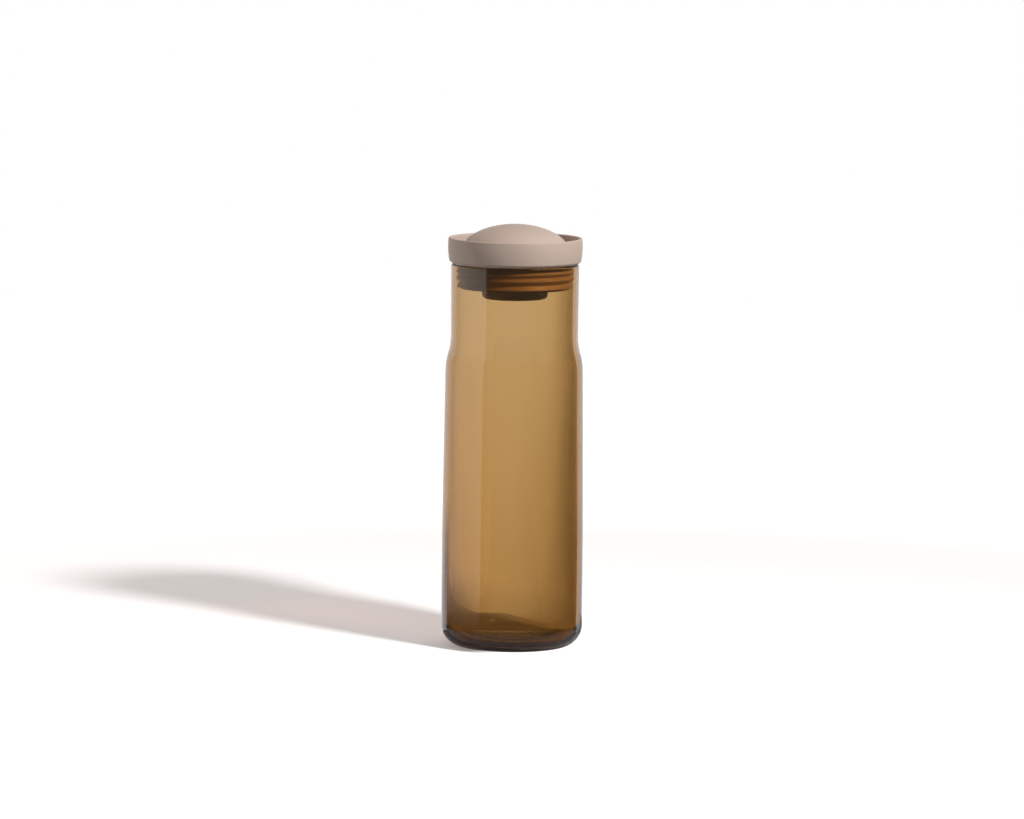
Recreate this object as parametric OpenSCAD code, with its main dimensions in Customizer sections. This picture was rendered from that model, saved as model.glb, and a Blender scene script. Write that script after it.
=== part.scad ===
// A one litre water carafe: a shouldered glass body and a lid that opens by itself when it is tilted.
// The lid is a cup with a pouring lip all round. A weighted stopper under a dome closes the port in
// the cup's floor. The origin is the middle of the foot, and +Z is up. All sizes are in millimetres.

/* [Glass body] */
// Outer diameter of the straight lower body
body_d = 85; // [80:0.5:100]
// Height where the straight lower body ends and the body starts to narrow
barrel_top_z = 68; // [55:1:90]
// Radius that the body loses between there and the shoulder
body_taper = 1.1; // [0.4:0.1:2.5]
// Height of the middle of the shoulder
shoulder_z = 177; // [165:1:190]
// Height that the shoulder curve takes
shoulder_rise = 23; // [18:1:30]
// Radius of the rounded outer heel
heel_r = 13; // [10:0.5:16]
// Thickness of the glass wall in the neck
glass_wall = 2.5; // [2:0.1:3.2]
// Thickness of the wall under the shoulder
shoulder_wall = 2.75; // [2.3:0.05:3.5]
// Thickness of the wall over the inner heel, where the blown glass stays thickest
heel_wall = 3.5; // [3:0.05:5]
// How late the wall thickens on its way down, where 1 is evenly
wall_gather = 1.0; // [1:0.1:3]
// Thickness of the glass floor beside the heel
floor_t = 5; // [4:0.1:7]
// Radius of the rounded inner heel
inner_heel_r = 10; // [7:0.5:13]
// Width of the flat ring that the glass stands on
foot_ring_w = 6; // [4:0.5:9]
// Rise of the hollow under the floor
punt_h = 2; // [1:0.1:3]
// Rise of the floor's upper face in the middle
floor_crown = 1.6; // [0.8:0.1:3]

/* [Glass neck] */
// Outer diameter of the neck above the shoulder
neck_d = 76.4; // [74:0.1:80]
// Radius that the neck gains up to its rim
neck_flare = 0.25; // [0:0.05:0.5]
// Height of the glass rim
glass_h = 231.2; // [220:0.1:245]

/* [Lid collar] */
// Distance that the collar's widest part stands outside the glass rim
collar_overhang = 1.95; // [1.5:0.05:4]
// Height of the collar from its underside to the pouring lip
collar_h = 14.9; // [13:0.1:20]
// Height of the collar's widest part over its underside
bulge_z = 9.6; // [7:0.1:12]
// Radius of the bowed line of the collar's wall
bulge_r = 44; // [35:1:80]
// Thickness of the wall at the pouring lip
lip_wall = 2; // [1.6:0.1:3]
// Rounding of the pouring lip's edges
lip_round = 0.8; // [0.4:0.1:0.8]
// Rounding of the collar's lower corner
collar_corner_r = 2; // [1:0.1:3]
// Thickness of the collar's floor
collar_floor_t = 3.3; // [2.8:0.1:4.5]
// Rounding between the collar's floor and its inner wall
well_r = 2.5; // [1:0.1:4]
// Depth of the spigot that enters the plug sleeve
spigot_depth = 1.9; // [1:0.1:3]
// Thickness of the spigot's wall
spigot_wall = 2; // [1.2:0.1:3]

/* [Plug sleeve and gasket] */
// Length of the sleeve below the collar
sleeve_len = 15.4; // [13:0.1:20]
// Thickness of the sleeve's wall
sleeve_wall = 2; // [1.4:0.1:2.6]
// Width of the flange that keeps the gasket from slipping off the sleeve
flange_w = 0.8; // [0.4:0.1:1.2]
// Thickness of that flange
flange_t = 1; // [0.6:0.1:2]
// Width of the ledge that carries the guide spider
ledge_w = 1.5; // [1:0.1:2.5]
// Thickness of that ledge
ledge_t = 2; // [1:0.1:3]
// Reach of the gasket's longest lip
lip_reach = 2.4; // [1.5:0.1:3.5]
// Radius of the lips' rounded edges
lip_edge_r = 0.45; // [0.25:0.05:0.6]
// Thickness of the gasket under its lips
gasket_wall = 1.2; // [0.8:0.1:2]
// Free height between the collar and the gasket
gasket_drop = 1; // [0.5:0.1:2]
// Thickness of the washer between the collar and the glass rim
washer_t = 0.9; // [0.6:0.1:1.5]
// Depth of the washer's groove in the collar
washer_groove = 0.4; // [0.2:0.1:0.5]
// Width of the washer
washer_w = 2.2; // [1.4:0.1:3]
// Distance of the washer's outer edge inside the outer edge of the glass rim
washer_inset = 0.8; // [0.5:0.1:1.2]

/* [Stopper dome] */
// Width of the pouring channel between the dome and the collar
channel_w = 5.3; // [4.5:0.1:8]
// Height of the dome over its lower edge
dome_h = 18; // [14:0.1:24]
// Thickness of the dome's wall at its edge and at its top
dome_wall = 2; // [1.6:0.1:2.6]
// Rounding of the dome's lower edge
dome_edge_r = 0.5; // [0.2:0.1:0.8]
// Thickness of the disc that closes the dome from below
base_t = 2.4; // [2:0.1:3.2]
// Height of the stem's socket over the disc
socket_h = 6.2; // [4:0.1:8]
// Thickness of the socket's wall
socket_wall = 3; // [2:0.1:4]
// Width of the valve seal
seal_w = 3; // [2:0.1:4]
// Distance of the valve seal inside the disc's edge
seal_inset = 0.6; // [0.4:0.1:1.5]
// Depth of the valve seal's groove
seal_groove = 1.2; // [0.8:0.1:1.6]
// Height that the valve seal stands out of its groove
seal_stand = 1.5; // [1:0.1:2.5]
// Width of the seat between the valve seal and the port
seat_margin = 2.1; // [1:0.1:4]

/* [Stem and guide] */
// Lift of the stopper between shut and open
travel = 6; // [4:0.1:7]
// Diameter of the stem
stem_d = 8; // [6:0.1:10]
// Height of the guide's outer ring
ring_h = 3; // [2:0.1:4]
// Width of the guide's outer ring
ring_w = 2.6; // [2:0.1:4]
// Number of the guide's spokes
spokes = 3; // [3:1:5]
// Width of a spoke
spoke_w = 3; // [2:0.1:4]
// Height of the guide's hub
hub_h = 7; // [5:0.1:8]
// Distance of the hub's lower end below the ring
hub_drop = 1.2; // [0.5:0.1:2]
// Thickness of the hub's wall
hub_wall = 2; // [1.4:0.1:3]
// Thickness of the bush's wall
bush_wall = 1.4; // [1:0.1:2]
// Thickness of the bush's flange
bush_flange_t = 0.8; // [0.6:0.1:1.2]
// Thickness of the bumper on the ballast cup
bumper_t = 1.2; // [0.8:0.1:2]
// Width of the bumper around the stem
bumper_w = 4; // [2.5:0.1:6]

/* [Ballast cup] */
// Outer diameter of the cup at its top
cup_d = 40.2; // [34:0.1:46]
// Height of the cup
cup_h = 7.4; // [6.6:0.1:9]
// Radius that the cup loses down to its corner
cup_draft = 0.4; // [0:0.1:1]
// Rounding of the cup's lower corner
cup_corner_r = 2.6; // [1:0.1:3.5]
// Thickness of the cup's wall and floor
cup_wall = 1.6; // [1.2:0.1:2.2]
// Thickness of the cup's cover
cover_t = 1.4; // [1:0.1:2]
// Free height over the ballast disc
ballast_play = 0.2; // [0.1:0.1:0.5]
// Thickness of the cup's post around the stem
post_wall = 2; // [1.4:0.1:3]
// Width of the ledge that carries the cover at the cup's wall
cover_ledge_w = 0.8; // [0.4:0.1:1.5]
// Thickness of the web that the screw pulls on
web_t = 1.2; // [1:0.1:1.8]
// Diameter of the screw's thread
screw_d = 4; // [3:0.5:5]
// Length of the screw's thread
screw_len = 9; // [7:0.5:12]
// Diameter of the screw's head
head_d = 7.2; // [6.4:0.1:8]
// Height of the screw's head
head_h = 1.6; // [1.2:0.1:1.8]
// Depth of the screw head's slot
slot_h = 0.7; // [0.4:0.1:0.9]
// Width of the screw head's slot
slot_w = 1; // [0.6:0.1:1.4]
// Height of the seal ring under the screw's head
screw_seal_h = 0.8; // [0.5:0.1:1]
// Distance of the screw's head inside the cup's underside
head_sink = 0.2; // [0:0.1:0.4]

/* [Fits] */
// Clearance between pieces that are pressed or bonded together
fit_gap = 0.04; // [0.02:0.01:0.1]
// Clearance between the stem and its bush
run_gap = 0.08; // [0.05:0.01:0.15]
// Gap between a seal at rest and the face that it closes on
seat_gap = 0.2; // [0.1:0.05:0.3]
// Clearance between the gasket's lips and the narrowest part of the neck
neck_gap = 0.1; // [0.05:0.05:0.3]
// Gap left at the end of the stopper's travel
stop_gap = 0.2; // [0.1:0.05:0.4]

/* [Hidden] */

$fn = 96;
arc_steps = 10;
dome_steps = 24;
wall_steps = 8;
// How far a cut runs past the face that it opens
overrun = 1;

// Colours, as the eye sees each piece
glass_colour = [0.62, 0.44, 0.24, 0.55];
taupe = [0.76, 0.68, 0.61];
silicone_taupe = [0.66, 0.57, 0.50];
steel_colour = [0.72, 0.72, 0.73];
acetal_white = [0.90, 0.89, 0.86];

// Glass: radii and heights of its outer face
body_r = body_d / 2;
neck_r = neck_d / 2;
rim_r = neck_r + neck_flare;
shoulder_low_r = body_r - body_taper;
shoulder_low_z = shoulder_z - shoulder_rise / 2;
shoulder_high_z = shoulder_z + shoulder_rise / 2;
foot_out_r = body_r - heel_r;
foot_in_r = foot_out_r - foot_ring_w;
rim_round = glass_wall / 2;
rim_mid_r = rim_r - rim_round;

// Lid: heights from the glass rim up
collar_z = glass_h + seat_gap + washer_t - washer_groove;
lip_z = collar_z + collar_h;
well_z = collar_z + collar_floor_t;
dome_z = well_z + seat_gap + seal_stand;

// Lid: radii from the glass neck inwards
lip_tip_r = neck_r - glass_wall - neck_gap;
gasket_root_r = lip_tip_r - lip_reach;
sleeve_r = gasket_root_r - gasket_wall;
sleeve_in_r = sleeve_r - sleeve_wall;
ledge_r = sleeve_in_r - ledge_w;
spigot_r = sleeve_in_r - fit_gap;
spigot_in_r = spigot_r - spigot_wall;
washer_out_r = rim_r - washer_inset;
washer_in_r = washer_out_r - washer_w;

// Collar: its bowed wall, from the widest part
collar_r = rim_r + collar_overhang;
bulge_cx = collar_r - bulge_r;
bulge_cz = collar_z + bulge_z;
lip_corner_z = lip_z - lip_round;
lip_angle = asin((lip_corner_z - bulge_cz) / bulge_r);
corner_angle = asin((collar_z + collar_corner_r - bulge_cz) / bulge_r);
lip_out_r = bulge_cx + bulge_r * cos(lip_angle);
corner_out_r = bulge_cx + bulge_r * cos(corner_angle);
well_wall_r = lip_out_r - lip_wall;

// Dome, seal and port, from the collar's inner wall inwards
dome_r = well_wall_r - channel_w;
base_r = dome_r - dome_wall;
seal_out_r = base_r - seal_inset;
seal_in_r = seal_out_r - seal_w;
port_r = seal_in_r - seat_margin;
apex_z = dome_z + dome_h;
base_top_z = dome_z + base_t;
socket_top_z = base_top_z + socket_h;

// Guide, from the spigot down
stem_r = stem_d / 2;
ring_top_z = collar_z - spigot_depth;
ring_z = ring_top_z - ring_h;
hub_z = ring_z - hub_drop;
bush_z = hub_z - bush_flange_t;
bush_in_r = stem_r + run_gap;
bush_r = bush_in_r + bush_wall;
hub_r = bush_r + fit_gap + hub_wall;
ring_r = sleeve_in_r - fit_gap;

// Ballast cup, from the bush down
bumper_top_z = bush_z - travel - stop_gap;
cup_top_z = bumper_top_z - bumper_t;
cup_z = cup_top_z - cup_h;
cup_r = cup_d / 2;
cup_low_r = cup_r - cup_draft;
cover_z = cup_top_z - cover_t;
post_r = stem_r + fit_gap + post_wall;
head_z = cup_z + head_sink;
screw_seal_z = head_z + head_h;
web_z = screw_seal_z + screw_seal_h;
stem_z = web_z + web_t;
screw_r = screw_d / 2;
head_r = head_d / 2;

// Gasket: places along its length from its top, and reach of each place, as shares
gasket_top_z = collar_z - gasket_drop;
gasket_len = sleeve_len - gasket_drop - flange_t;
notch_shares = [0.13, 0.41, 0.8];
notch_reach_shares = [0.3, 0.7, 0.17];
tip_shares = [0.29, 0.585, 0.965];
tip_reach_shares = [0.97, 1, 0.74];

// Points of an arc about a centre, from one angle to another
function arc(centre, r, from, to, steps = arc_steps) =
    [for (i = [0:steps]) centre + r * [cos(from + (to - from) * i / steps), sin(from + (to - from) * i / steps)]];

// Points of a quarter ellipse, from its edge up to its top
function quarter_ellipse(centre, half_width, height, steps = dome_steps) =
    [for (i = [0:steps]) centre + [half_width * cos(90 * i / steps), height * sin(90 * i / steps)]];

// Points of the double curve that takes a wall from a lower, wider radius to a higher, narrower one
function shoulder_curve(low_r, high_r) =
    let (turn = 2 * atan((low_r - high_r) / shoulder_rise),
         r = shoulder_rise / (2 * sin(turn)))
    concat(arc([low_r - r, shoulder_low_z], r, 0, turn),
           arc([high_r + r, shoulder_high_z], r, 180 + turn, 180));

// Points of a shallow cap from the axis out to a radius, crowned by a height over a level
function crown_curve(out_r, level, rise) =
    let (r = (out_r * out_r + rise * rise) / (2 * rise),
         half = asin(out_r / r))
    arc([0, level + rise - r], r, 90, 90 - half);

function reversed(points) = [for (i = [len(points) - 1:-1:0]) points[i]];

// A flat ring or a tube
module ring(out_r, in_r, z, height) {
    translate([0, 0, z])
        difference() {
            cylinder(h = height, r = out_r);
            translate([0, 0, -overrun])
                cylinder(h = height + 2 * overrun, r = in_r);
        }
}

// Points down the inner face under the shoulder: blown glass stays thicker towards the heel
function inner_wall(top_z, low_z) =
    [for (i = [1:wall_steps - 1])
        let (
            depth = i / wall_steps,
            z = top_z + (low_z - top_z) * depth,
            outer_r = body_r - body_taper * max(0, z - barrel_top_z) / (top_z - barrel_top_z),
            wall = shoulder_wall + (heel_wall - shoulder_wall) * pow(depth, wall_gather))
        [outer_r - wall, z]];

module glass_body() {
    inner_floor_r = body_r - heel_wall - inner_heel_r;
    outer_face = concat(
        crown_curve(foot_in_r, 0, punt_h),
        arc([foot_out_r, heel_r], heel_r, -90, 0),
        [[body_r, barrel_top_z]],
        shoulder_curve(shoulder_low_r, neck_r));
    rim = arc([rim_mid_r, glass_h - rim_round], rim_round, 0, 180);
    inner_face = concat(
        reversed(shoulder_curve(shoulder_low_r - shoulder_wall, neck_r - glass_wall)),
        inner_wall(shoulder_z - shoulder_rise / 2, floor_t + inner_heel_r),
        arc([inner_floor_r, floor_t + inner_heel_r], inner_heel_r, 0, -90),
        reversed(crown_curve(inner_floor_r, floor_t, floor_crown)));
    color(glass_colour)
        rotate_extrude()
            polygon(concat(outer_face, rim, inner_face));
}

module lid_collar() {
    wall = concat(
        arc([corner_out_r - collar_corner_r, collar_z + collar_corner_r], collar_corner_r, -90, 0),
        arc([bulge_cx, bulge_cz], bulge_r, corner_angle, lip_angle),
        arc([lip_out_r - lip_round, lip_corner_z], lip_round, 0, 90),
        arc([well_wall_r + lip_round, lip_corner_z], lip_round, 90, 180),
        arc([well_wall_r - well_r, well_z + well_r], well_r, 0, -90));
    floor_and_spigot = [
        [port_r, well_z],
        [port_r, collar_z],
        [spigot_in_r, collar_z],
        [spigot_in_r, ring_top_z],
        [spigot_r, ring_top_z],
        [spigot_r, collar_z]];
    color(taupe)
        difference() {
            rotate_extrude()
                polygon(concat(wall, floor_and_spigot));
            ring(washer_out_r + fit_gap, washer_in_r - fit_gap, collar_z - overrun, overrun + washer_groove);
        }
}

module plug_sleeve() {
    low_z = collar_z - sleeve_len;
    ledge_z = ring_z - ledge_t;
    color(taupe)
        rotate_extrude()
            polygon([
                [sleeve_r, collar_z],
                [sleeve_in_r, collar_z],
                [sleeve_in_r, ring_z],
                [ledge_r, ring_z],
                [ledge_r, ledge_z],
                [sleeve_in_r, ledge_z - ledge_w],
                [sleeve_in_r, low_z],
                [sleeve_r + flange_w, low_z],
                [sleeve_r + flange_w, low_z + flange_t],
                [sleeve_r, low_z + flange_t]]);
}

// One lip: the notch over it and its rounded tip, which looks up as it does when the plug is pushed in
function lip_points(i) =
    let (tip_r = gasket_root_r + lip_reach * tip_reach_shares[i],
         notch_r = gasket_root_r + lip_reach * notch_reach_shares[i],
         notch_z = gasket_top_z - gasket_len * notch_shares[i],
         tip_z = gasket_top_z - gasket_len * tip_shares[i])
    concat([[notch_r, notch_z]], arc([tip_r - lip_edge_r, tip_z], lip_edge_r, 65, -50, 6));

module lip_gasket() {
    in_r = sleeve_r + fit_gap;
    color(silicone_taupe)
        rotate_extrude()
            polygon(concat(
                [[in_r, gasket_top_z], [gasket_root_r, gasket_top_z]],
                lip_points(0),
                lip_points(1),
                lip_points(2),
                [[gasket_root_r, gasket_top_z - gasket_len], [in_r, gasket_top_z - gasket_len]]));
}

module rim_washer() {
    color(silicone_taupe)
        ring(washer_out_r, washer_in_r, collar_z + washer_groove - washer_t, washer_t);
}

module guide_spider() {
    ring_in_r = ring_r - ring_w;
    color(taupe)
        difference() {
            union() {
                ring(ring_r, ring_in_r, ring_z, ring_h);
                translate([0, 0, hub_z])
                    cylinder(h = hub_h, r = hub_r);
                for (i = [0:spokes - 1])
                    rotate([0, 0, 90 + 360 * i / spokes])
                        translate([0, -spoke_w / 2, ring_z])
                            cube([ring_in_r + ring_w / 2, spoke_w, ring_h]);
            }
            translate([0, 0, hub_z - overrun])
                cylinder(h = hub_h + 2 * overrun, r = bush_r + fit_gap);
        }
}

module guide_bush() {
    color(acetal_white)
        rotate_extrude()
            polygon([
                [bush_in_r, bush_z],
                [hub_r, bush_z],
                [hub_r, hub_z],
                [bush_r, hub_z],
                [bush_r, hub_z + hub_h],
                [bush_in_r, hub_z + hub_h]]);
}

module dome_cap() {
    inner_r = base_r - dome_wall / 2;
    inner_z = base_top_z + fit_gap;
    color(taupe)
        rotate_extrude()
            polygon(concat(
                [[base_r, dome_z]],
                arc([dome_r - dome_edge_r, dome_z + dome_edge_r], dome_edge_r, -90, 0, 6),
                quarter_ellipse([0, dome_z + dome_edge_r], dome_r, dome_h - dome_edge_r),
                reversed(quarter_ellipse([0, inner_z], inner_r, apex_z - dome_wall - inner_z)),
                [[base_r, inner_z]]));
}

module dome_base() {
    socket_r = stem_r + socket_wall;
    color(taupe)
        difference() {
            union() {
                translate([0, 0, dome_z])
                    cylinder(h = base_t, r = base_r - fit_gap);
                translate([0, 0, dome_z])
                    cylinder(h = base_t + socket_h, r = socket_r);
            }
            translate([0, 0, dome_z - overrun])
                cylinder(h = overrun + base_t + socket_h - dome_wall, r = stem_r + fit_gap);
            ring(seal_out_r + fit_gap, seal_in_r - fit_gap, dome_z - overrun, overrun + seal_groove);
        }
}

module valve_seal() {
    bead_r = seal_w / 2;
    bead_mid_r = seal_in_r + bead_r;
    bead_share = 0.55;
    bead_h = seal_stand * bead_share;
    low_z = dome_z - seal_stand;
    color(silicone_taupe)
        rotate_extrude()
            polygon(concat(
                [[seal_in_r, dome_z + seal_groove]],
                [for (i = [0:arc_steps])
                    [bead_mid_r - bead_r * cos(180 * i / arc_steps), low_z + bead_h * (1 - sin(180 * i / arc_steps))]],
                [[seal_out_r, dome_z + seal_groove]]));
}

module stem() {
    top_z = socket_top_z - dome_wall - fit_gap;
    color(steel_colour)
        difference() {
            translate([0, 0, stem_z])
                cylinder(h = top_z - stem_z, r = stem_r);
            translate([0, 0, stem_z - overrun])
                cylinder(h = screw_len + overrun, r = screw_r + fit_gap);
        }
}

module bumper_washer() {
    color(silicone_taupe)
        ring(stem_r + bumper_w, stem_r + fit_gap, cup_top_z, bumper_t);
}

module ballast_cup() {
    color(taupe)
        difference() {
            rotate_extrude()
                polygon(concat(
                    [[0, cup_z]],
                    arc([cup_low_r - cup_corner_r, cup_z + cup_corner_r], cup_corner_r, -90, 0),
                    [[cup_r, cup_top_z],
                     [cup_r - cup_wall, cup_top_z],
                     [cup_r - cup_wall, cover_z],
                     [cup_low_r - cup_wall - cover_ledge_w, cover_z],
                     [cup_low_r - cup_wall - cover_ledge_w, cup_z + cup_corner_r],
                     [cup_low_r - cup_corner_r, cup_z + cup_wall],
                     [post_r, cup_z + cup_wall],
                     [post_r, cover_z],
                     [0, cover_z]]));
            translate([0, 0, stem_z])
                cylinder(h = cup_h, r = stem_r + fit_gap);
            translate([0, 0, cup_z - overrun])
                cylinder(h = cup_h, r = screw_r + fit_gap);
            translate([0, 0, cup_z - overrun])
                cylinder(h = overrun + web_z - cup_z, r = head_r + fit_gap);
        }
}

module ballast_disc() {
    low_z = cup_z + cup_wall;
    color(steel_colour)
        ring(cup_low_r - cup_corner_r, post_r + ballast_play, low_z, cover_z - ballast_play - low_z);
}

module cup_cover() {
    color(taupe)
        ring(cup_r - cup_wall - fit_gap, stem_r + fit_gap, cover_z, cover_t);
}

module cup_screw() {
    color(steel_colour)
        difference() {
            union() {
                translate([0, 0, head_z])
                    cylinder(h = head_h, r = head_r);
                translate([0, 0, head_z])
                    cylinder(h = stem_z + screw_len - head_z - head_h, r = screw_r);
            }
            translate([-head_d / 2 - overrun, -slot_w / 2, head_z - overrun])
                cube([head_d + 2 * overrun, slot_w, slot_h + overrun]);
        }
}

module screw_seal() {
    color(silicone_taupe)
        ring(head_r, screw_r + fit_gap, screw_seal_z, screw_seal_h);
}

glass_body();
lid_collar();
plug_sleeve();
lip_gasket();
rim_washer();
guide_spider();
guide_bush();
dome_cap();
dome_base();
valve_seal();
stem();
bumper_washer();
ballast_cup();
ballast_disc();
cup_cover();
cup_screw();
screw_seal();
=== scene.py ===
"""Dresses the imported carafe: amber glass, a matt taupe lid and silicone seals, in a plain white studio."""

import math

import bmesh
import bpy
from bpy.props import FloatProperty, FloatVectorProperty, IntProperty, PointerProperty
from mathutils import Matrix, Vector, noise


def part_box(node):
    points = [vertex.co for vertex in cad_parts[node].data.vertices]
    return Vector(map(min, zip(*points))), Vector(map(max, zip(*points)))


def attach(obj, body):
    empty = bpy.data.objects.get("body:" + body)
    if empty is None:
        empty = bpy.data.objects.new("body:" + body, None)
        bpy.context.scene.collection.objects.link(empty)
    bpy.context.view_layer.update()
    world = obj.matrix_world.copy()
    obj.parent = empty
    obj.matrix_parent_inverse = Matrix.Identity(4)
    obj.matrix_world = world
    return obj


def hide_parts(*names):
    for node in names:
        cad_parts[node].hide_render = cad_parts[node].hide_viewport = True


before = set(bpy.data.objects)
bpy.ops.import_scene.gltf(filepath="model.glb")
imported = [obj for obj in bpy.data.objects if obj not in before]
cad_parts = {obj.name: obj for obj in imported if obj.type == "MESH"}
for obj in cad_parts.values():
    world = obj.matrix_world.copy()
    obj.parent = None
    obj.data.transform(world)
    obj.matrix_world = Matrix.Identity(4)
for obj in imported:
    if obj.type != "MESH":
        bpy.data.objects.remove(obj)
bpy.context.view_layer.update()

bl_info = {
    "name": "Carafe dressing",
    "version": (1, 0, 0),
    "blender": (4, 5, 0),
    "location": "View3D > Sidebar > Carafe",
    "description": "Makes the glass, the lid and the stopper of a carafe, and the studio round it",
    "category": "Object",
}

MM = 0.001
FULL_TURN = 2 * math.pi
# Corners of an outline this close are one corner, and points of a mesh this close are one point
SAME_PLACE = 0.001 * MM
MERGED = 0.0001 * MM
# Half the width of the studio's floor, in metres, and the width of the camera's sensor, in millimetres
HALF_FLOOR = 40
SENSOR = 36
PLAIN_WHITE = (1, 1, 1, 1)
# The fill light is a little warm
WARM_FILL = (1.0, 0.87, 0.84, 1)
# So is the key light, and what the paper adds to it
WARM_KEY = (1.0, 0.985, 0.97, 1)


def outer_radius(node):
    """How far a CAD node reaches from the carafe's axis."""
    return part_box(node)[1].x


def levels(node):
    """The lowest and the highest level of a CAD node."""
    low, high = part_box(node)
    return low.z, high.z


# What touches another piece is placed from the frame's own levels
GLASS_TOP = levels("glass_body")[1]
SPIGOT_LOW, COLLAR_TOP = levels("lid_collar")
SLEEVE_LOW, SLEEVE_TOP = levels("plug_sleeve")
GASKET_LOW, GASKET_TOP = levels("lip_gasket")
WASHER_LOW, WASHER_TOP = levels("rim_washer")
SPIDER_LOW = levels("guide_spider")[0]
DOME_LOW, DOME_TOP = levels("dome_cap")
SOCKET_TOP = levels("dome_base")[1]
SEAL_LOW, SEAL_TOP = levels("valve_seal")
STEM_LOW, STEM_TOP = levels("stem")
BUMPER_LOW, BUMPER_TOP = levels("bumper_washer")
CUP_LOW, CUP_TOP = levels("ballast_cup")
COVER_LOW, COVER_TOP = levels("cup_cover")


def linear(hex_colour):
    """An sRGB hex colour as the linear values that a shader takes."""
    channels = [int(hex_colour[i:i + 2], 16) / 255 for i in (1, 3, 5)]
    return [c / 12.92 if c <= 0.04045 else ((c + 0.055) / 1.055) ** 2.4 for c in channels]


def length(name, description, default, low=0.0, high=10.0):
    """A length property in metres."""
    return FloatProperty(
        name=name, description=description, default=default, min=low, max=high, unit="LENGTH")


def angle(name, description, degrees):
    """An angle property, from degrees."""
    return FloatProperty(name=name, description=description, default=math.radians(degrees), subtype="ANGLE")


def plain(name, description, default, low=0.0):
    """A number without a unit, such as a strength or a share."""
    return FloatProperty(name=name, description=description, default=default, min=low)


def colour(name, description, hex_colour):
    """A colour property."""
    return FloatVectorProperty(
        name=name, description=description, default=linear(hex_colour), min=0, max=1, size=3, subtype="COLOR")


class CarafeGlass(bpy.types.PropertyGroup):
    """Sizes and colour of the glass body."""

    body_radius: length("Body radius", "Outer radius of the straight lower body", 42.5 * MM)
    barrel_top: length("Barrel top", "Height where the body starts to narrow", 68 * MM)
    taper: length("Taper", "Radius lost between there and the shoulder", 1.1 * MM)
    shoulder: length("Shoulder", "Height of the middle of the shoulder", 177 * MM)
    shoulder_rise: length("Shoulder rise", "Height that the shoulder curve takes", 23 * MM)
    neck_radius: length("Neck radius", "Outer radius of the neck over the shoulder", 38.2 * MM)
    flare: length("Flare", "Radius that the neck gains up to its rim", 0.25 * MM)
    heel: length("Heel", "Radius of the rounded outer heel", 13 * MM)
    inner_heel: length("Inner heel", "Radius of the rounded inner heel", 10 * MM)
    wall: length("Wall", "Thickness of the wall in the neck", 2.5 * MM)
    shoulder_wall: length("Shoulder wall", "Thickness of the wall under the shoulder", 2.75 * MM)
    heel_wall: length("Heel wall", "Thickness of the wall over the inner heel", 3.5 * MM)
    gather: plain("Gather", "How late the wall thickens on its way down", 1.0, low=1.0)
    floor: length("Floor", "Thickness of the glass floor", 5 * MM)
    crown: length("Crown", "Rise of the floor's upper face in the middle", 1.6 * MM)
    punt: length("Punt", "Rise of the hollow under the floor", 2 * MM)
    foot: length("Foot", "Width of the ring that the glass stands on", 6 * MM)
    ripple: length("Ripple", "How far the blown inner face strays from a true turned one", 0.05 * MM)
    absorbed: plain("Absorption", "How fast the glass takes up light, per metre", 424.0)
    tint: colour("Tint", "Colour that the glass lets through", "#DBBA4C")
    shade_tint: colour("Shade tint", "What each glass face lets through into the shadow", "#E4DACF")


class CarafeLid(bpy.types.PropertyGroup):
    """Sizes of the pieces that stay with the lid."""

    bulge_height: length("Bulge height", "Height of the collar's widest part over its underside", 9.6 * MM)
    bulge_curve: length("Bulge curve", "Radius of the bowed line of the wall", 44 * MM)
    corner: length("Corner", "Rounding of the collar's lower corner", 2 * MM)
    lip_wall: length("Lip wall", "Thickness of the wall at the pouring lip", 2 * MM)
    lip_round: length("Lip round", "Rounding of the pouring lip's edges", 0.8 * MM)
    floor: length("Floor", "Thickness of the collar's floor", 3.3 * MM)
    well_round: length("Well round", "Rounding between the collar's floor and wall", 2.5 * MM)
    port: length("Port", "Radius of the port in the collar's floor", 25.1 * MM)
    spigot_wall: length("Spigot wall", "Thickness of the spigot's wall", 2 * MM)
    sleeve_wall: length("Sleeve wall", "Thickness of the plug sleeve's wall", 2 * MM)
    flange_width: length("Flange width", "Width of the sleeve's flange", 0.8 * MM)
    ledge_width: length("Ledge width", "Width of the ledge under the guide spider", 1.5 * MM)
    ledge_height: length("Ledge height", "Thickness of that ledge", 2 * MM)
    hub_drop: length("Hub drop", "How far the spider's hub hangs below that ledge's top", 1.2 * MM)
    washer_width: length("Washer width", "Width of the rim washer", 2.2 * MM)
    washer_groove: length("Washer groove", "Depth of the washer's groove", 0.4 * MM)
    lip_reach: length("Lip reach", "Reach of the gasket's longest lip", 2.4 * MM)
    lip_tip: length("Lip tip", "Rounding of a lip's tip", 0.45 * MM)
    notch_round: length("Notch round", "Rounding between two lips", 0.4 * MM)
    gasket_wall: length("Gasket wall", "Thickness of the gasket under its lips", 1.2 * MM)
    edge: length("Edge", "Rounding of the small moulded edges", 0.3 * MM)


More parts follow.
